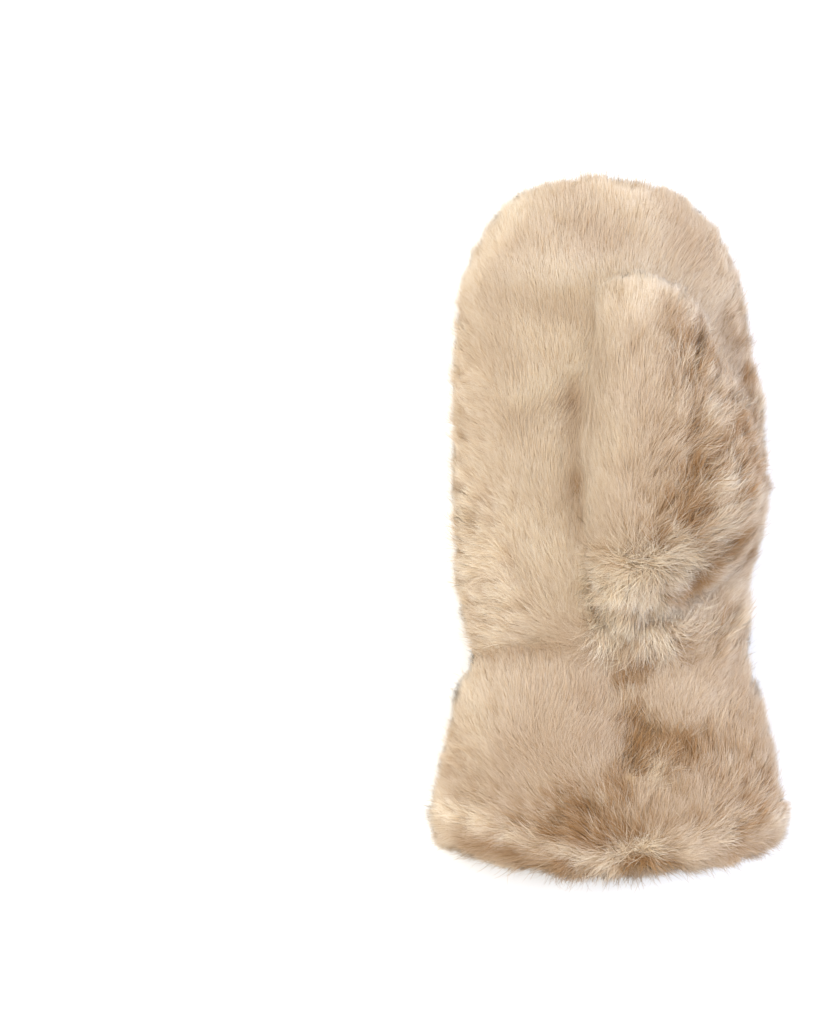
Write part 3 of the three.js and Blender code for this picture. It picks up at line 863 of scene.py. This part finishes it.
# The palm's tones are painted light and shade: painted shade in its hollows, creases, seam holes,
# the cuff, the right side away from the light and the hem's under-edge, painted highlights on its
# ridges, tufts, the hem's ridge and the lit outline at the upper left.
PALM_MARKS = table(
    "x0 y0 x1 y1 width tone press lock",
    [
        ("fingertips", -35, 110, 10, 134, 14, 0.01, 0, 0),
        ("first ridge", -46, 102, 12, 100, 8, 0.09, -0.05, 0),
        ("second ridge", -35, 76, -12, 76, 7, 0.09, -0.05, 0),
        ("fingertip hollow", -20, 117, 8, 119, 8, -0.08, 0.12, 0),
        ("inner fingertip hollow", -5, 112, 34, 108, 7, -0.08, 0, 0),
        ("upper finger hollow", -42, 92, -14, 87, 8, -0.08, 0.1, 0),
        ("beside the thumb's tip", -17, 84, -11, 79, 6, -0.06, 0.15, 0),
        ("lower finger ridge", -13, 64, -36, 52, 6, 0.12, -0.1, 0),
        ("lower finger hollow", -14, 55, -38, 47, 7, 0, 0.08, 0),
        ("dark finger hollow", -14, 51, -38, 43, 6, -0.09, 0, 0),
        ("thumb's upper edge", -14, 74, -14, 64, 7, 0.06, -0.1, 0),
        ("thumb's middle edge", -15, 56, -14, 20, 4, -0.2, 0.05, 0.1),
        ("thumb's lower edge", -14, 20, -4, -25, 3.5, -0.3, 0.1, 0.1),
        ("thumb's base", 31, -18, 51, 1, 4, -0.35, 0.3, 0),
        ("right of the thumb", 44, 80, 52, 60, 5, -0.35, 0.1, 0.3),
        ("top of the right rim", 55, 76, 58, 64, 4, -0.2, 0, 0),
        ("right edge", 56, 50, 59, 0, 6, 0.02, 0, 0.4),
        ("strip beside the thumb", 51, 62, 57, 14, 4, -0.35, 0, 0.3),
        ("upper right edge", 40, 108, 55, 70, 6, 0.02, 0, 0.35),
        ("left edge", -56, 80, -56, 0, 7, 0.05, 0, 0.35),
        ("lower left edge", -60, 10, -58, -30, 5, 0.2, 0, 0),
        ("left outline", -62, 85, -62, -10, 4, 0.16, 0, 0),
        ("top outline", -56, 98, -36, 123, 4, 0.3, 0, 0),
        ("top", -14, 138, 16, 138, 8, 0, 0.3, 0),
        ("upper left", -45, 105, -35, 118, 8, -0.06, 0, 0),
        ("left finger hollow", -46, 68, -40, 70, 10, -0.08, 0.1, 0),
        ("left of the cuff", -50, -92, -40, -102, 11, -0.06, 0, 0),
        ("upper left of the cuff", -56, -48, -52, -82, 9, 0.25, 0, 0),
        ("wrist crease", -54, -51, -24, -47, 4, -0.2, 0.3, 0.1),
        ("seam", 0, -44, 8, -100, 4, -0.02, 0.15, 0.1),
        ("seam in the cuff", 4, -70, 10, -90, 5, -0.12, 0, 0),
        ("left of the seam", -9, -66, -7, -80, 6, -0.12, 0, 0),
        ("upper cuff", -44, -56, -40, -66, 9, 0.08, 0, 0),
        ("seam hole below the thumb", 6, -56, 7, -57, 3, -0.6, 0.1, 0.5),
        ("seam hole by the wrist", 16, -53, 16, -53, 3, -0.5, 0.1, 0.5),
        ("seam hole in the cuff", 10, -74, 13, -80, 4, -0.3, 0.15, 0.4),
        ("seam end", 2, -94, 0, -100, 6, -0.24, 0.05, 0.3),
        ("whole cuff", -35, -85, 40, -88, 34, -0.22, 0, 0),
        ("right side of the cuff", 55, -62, 60, -100, 9, -0.12, 0, 0.2),
        ("dark part above the hem", -36, -106, -20, -108, 6, -0.08, 0, 0),
        ("right part of the cuff", 18, -113, 42, -118, 7, -0.12, 0, 0.2),
        ("above the hem", -26, -120, -6, -122, 4, -0.3, 0, 0.2),
        ("right fingertip", 28, 126, 42, 104, 10, -0.12, 0, 0),
        ("cuff streak", 14, -82, 36, -84, 6, -0.24, 0.05, 0.3),
        ("cuff tuft", 18, -96, 18, -96, 6, 0.2, -0.1, 0.5),
        ("dark left part of the cuff", -36, -118, -18, -116, 6, -0.1, 0.05, 0.4),
        ("dark middle of the cuff", -13, -111, 1, -117, 9, -0.33, 0.1, 0.9),
        ("left locks", -50, 0, -45, -32, 16, 0.12, 0, 0.5),
        ("lower palm", -28, -26, -20, -38, 8, -0.08, 0, 0),
        ("palm beside the thumb", -28, 44, -24, 20, 9, 0.1, 0, 0),
        ("hollow at the thumb's foot", -11, 14, -8, -24, 4, 0.15, 0, 0),
        ("left of the thumb's edge", -17, 16, -12, -4, 3, -0.12, 0, 0),
        ("crease below the thumb", 24, -28, 54, -8, 3, -0.6, 0, 0),
        ("dark lock by the seam", 10, -51, 12, -59, 3, -0.4, 0, 0),
        ("right below the thumb", 20, -38, 28, -44, 5, -0.15, 0, 0),
        ("light locks of the heel", 40, -36, 46, -40, 5, 0.15, 0, 0),
        ("edge below the thumb", 56, -10, 56, -24, 5, -0.1, 0, 0),
        ("palm's light middle", -22, 0, -22, -28, 9, 0.1, -0.05, 0.1),
        ("beside the seam", -14, -38, -12, -62, 7, -0.08, 0, 0),
        ("cuff locks", -56, -84, -50, -110, 10, 0, 0, 0.3),
        ("below the thumb", -2, -39, 20, -39, 8, 0.3, -0.8, 0.8),
        ("tufts below the thumb", 0, -38, 9, -41, 5, 0.25, 0, 0),
        ("left of the thumb's base", -11, -18, -5, -38, 5, 0.16, 0, 0),
        ("heel locks", 25, -42, 48, -40, 12, -0.08, 0, 0.8),
        ("tufts on the seam", 5, -46, 10, -100, 9, 0, 0, 0.5),
        ("right cuff locks", 30, -90, 52, -106, 14, -0.17, 0, 0.4),
        ("right end of the hem", 58, -114, 66, -122, 5, -0.15, 0, 0),
        ("right wrist", 36, -54, 52, -58, 8, -0.08, 0, 0),
        ("hem's left ridge", -67, -110, -12, -127, 4.5, 0.26, -0.2, 0.3),
        ("hem's middle ridge", -12, -130, 15, -124, 4, 0.4, -0.2, 0.4),
        ("tufts above the notch", 2, -122, 14, -122, 4, 0.3, 0, 0),
        ("hem's right ridge", 15, -125, 67, -113, 5, 0.12, -0.2, 0.4),
        ("hem's left edge", -58, -127, -15, -138, 4.5, 0, 0.45, 0.1),
        ("hem's dark left edge", -56, -122, -10, -133, 4, -0.4, 0, 0),
        ("hem's right edge", 15, -139, 62, -125, 4.5, 0, 0.35, 0.1),
        ("hem's dark right edge", 22, -134, 58, -126, 4, -0.2, 0, 0),
        ("hem's middle edge", -22, -137, 5, -138, 7, -0.25, 0.8, 0.1),
        ("under the hem's ridge", -20, -127, -4, -128, 3.5, -0.15, 0, 0),
        ("hem's notch", 9, -132, 22, -133, 5, -1.0, 0.4, 0.3),
    ],
)


def fingers_and_cuff(roots):
    """Parts the palm's fur in two pieces of about the same size."""
    upper = roots[:, 1] > 0
    return {"_fingers": upper, "_cuff": ~upper}


rng = np.random.default_rng(5)
hand = underfur(
    {"back_panel": BACK_MARKS, "palm_panel": PALM_MARKS, "heel_panel": PALM_MARKS},
    rng,
)
add_fur(hand["back_panel"], "back_fur", BACK_COMB, BACK_MARKS, rng)
add_fur(hand["palm_panel"], "palm_fur", PALM_COMB, PALM_MARKS, rng, fingers_and_cuff)
add_fur(hand["heel_panel"], "heel_fur", PALM_COMB, PALM_MARKS, rng)


# Thumb
# A sheath of the same fabric, closed at its tip and sewn into the palm at its base. It lies
# folded over the palm, with longer ruffled fur at its base and down its right side.
THUMB_COMB = table(
    "x y angle",
    [
        (14, 97, 88), (9, 91, 95), (-4, 82, 108), (29, 87, 62), (-4, 62, 78), (4, 51, 97),
        (14, 56, 76), (24, 67, 62), (34, 56, 60), (40, 46, 56), (45, 26, 50), (19, 26, 58),
        (4, 31, 98), (-6, 21, 106), (-4, -2, 102), (11, -2, 84), (22, 3, 67), (38, 3, 55),
        (53, 3, 48), (11, -8, 84), (23, -8, 60), (38, -6, 45), (-4, -15, 195), (4, -21, 235),
        (14, -20, 268), (24, -19, 300), (31, -13, 335), (11, -30, 265), (24, -29, 300),
        (40, -24, 55), (50, -14, 50), (58, -6, 46),
    ],
)
# The thumb's tones are painted light and shade too: painted highlights on its tip, base and pale
# locks, painted shade in its creases, streaks, trough and along its right side.
THUMB_MARKS = table(
    "x0 y0 x1 y1 width tone press lock",
    [
        ("whole thumb", 18, 70, 24, 0, 30, -0.12, 0, 0.08),
        ("crease at the base", 31, -19, 52, -1, 3, -0.7, 0.2, 0),
        ("tip", 8, 88, 13, 96, 9, 0.2, 0, 0),
        ("middle", 18, 20, 24, 0, 11, -0.06, 0, 0.15),
        ("upper middle", 14, 52, 16, 36, 8, -0.07, 0, 0),
        ("dimple", 3, 87, 3, 87, 3, -0.2, 0.3, 0),
        ("dark spot", 9, 70, 9, 70, 3, -0.2, 0.3, 0),
        ("upper streak", 23, 84, 29, 62, 6, -0.16, 0, 0.4),
        ("light lock on the right side", 35, 76, 37, 70, 4, 0.2, 0, 0),
        ("right of the upper streak", 45, 62, 48, 54, 4, -0.2, 0, 0),
        ("light locks", 39, 14, 44, -8, 7, 0, 0, 0.2),
        ("pale locks", 39, 20, 42, 6, 5, 0.26, 0, 0),
        ("dark lower streak", 31, 5, 34, -4, 5, -0.2, 0, 0),
        ("lower end of the crease", 23, -27, 36, -18, 2.5, -0.6, 0, 0),
        ("locks above the crease", 20, -15, 30, -13, 5, 0.2, 0, 0),
        ("right end of the crease", 48, 4, 58, 0, 5, -0.12, 0, 0),
        ("middle streak", 28, 60, 33, 32, 6, -0.08, 0, 0.4),
        ("lower streak", 32, 28, 28, 8, 6, -0.25, 0.1, 0.4),
        ("pale upper side", 36, 74, 46, 52, 4, 0.1, -0.1, 0.4),
        ("pale lower side", 46, 52, 48, 10, 5, 0.0, -0.1, 0.5),
        ("right rim", 54, 62, 57, 16, 4, -0.2, 0, 0.3),
        ("trough at the right rim", 49, 62, 53, 22, 5, -0.5, 0, 0),
        ("right side", 36, 70, 38, 0, 14, -0.08, 0, 0.5),
        ("base", 4, -18, 30, -8, 11, 0.34, -0.2, 1.0),
        ("upper left of the thumb", 0, 85, 3, 68, 6, 0.1, 0, 0),
        ("under the base", -2, -34, 22, -34, 4, 0.1, -0.2, 0.5),
        ("left tuft at the base", -2, -26, -3, -34, 4, 0.2, -0.7, 0.5),
        ("middle tuft at the base", 8, -28, 10, -37, 4, 0.2, -0.7, 0.5),
        ("right tuft at the base", 19, -26, 22, -33, 4, 0.2, -0.6, 0.5),
    ],
)
thumb = underfur({"thumb": THUMB_MARKS}, rng)
add_fur(thumb["thumb"], "thumb_fur", THUMB_COMB, THUMB_MARKS, rng)
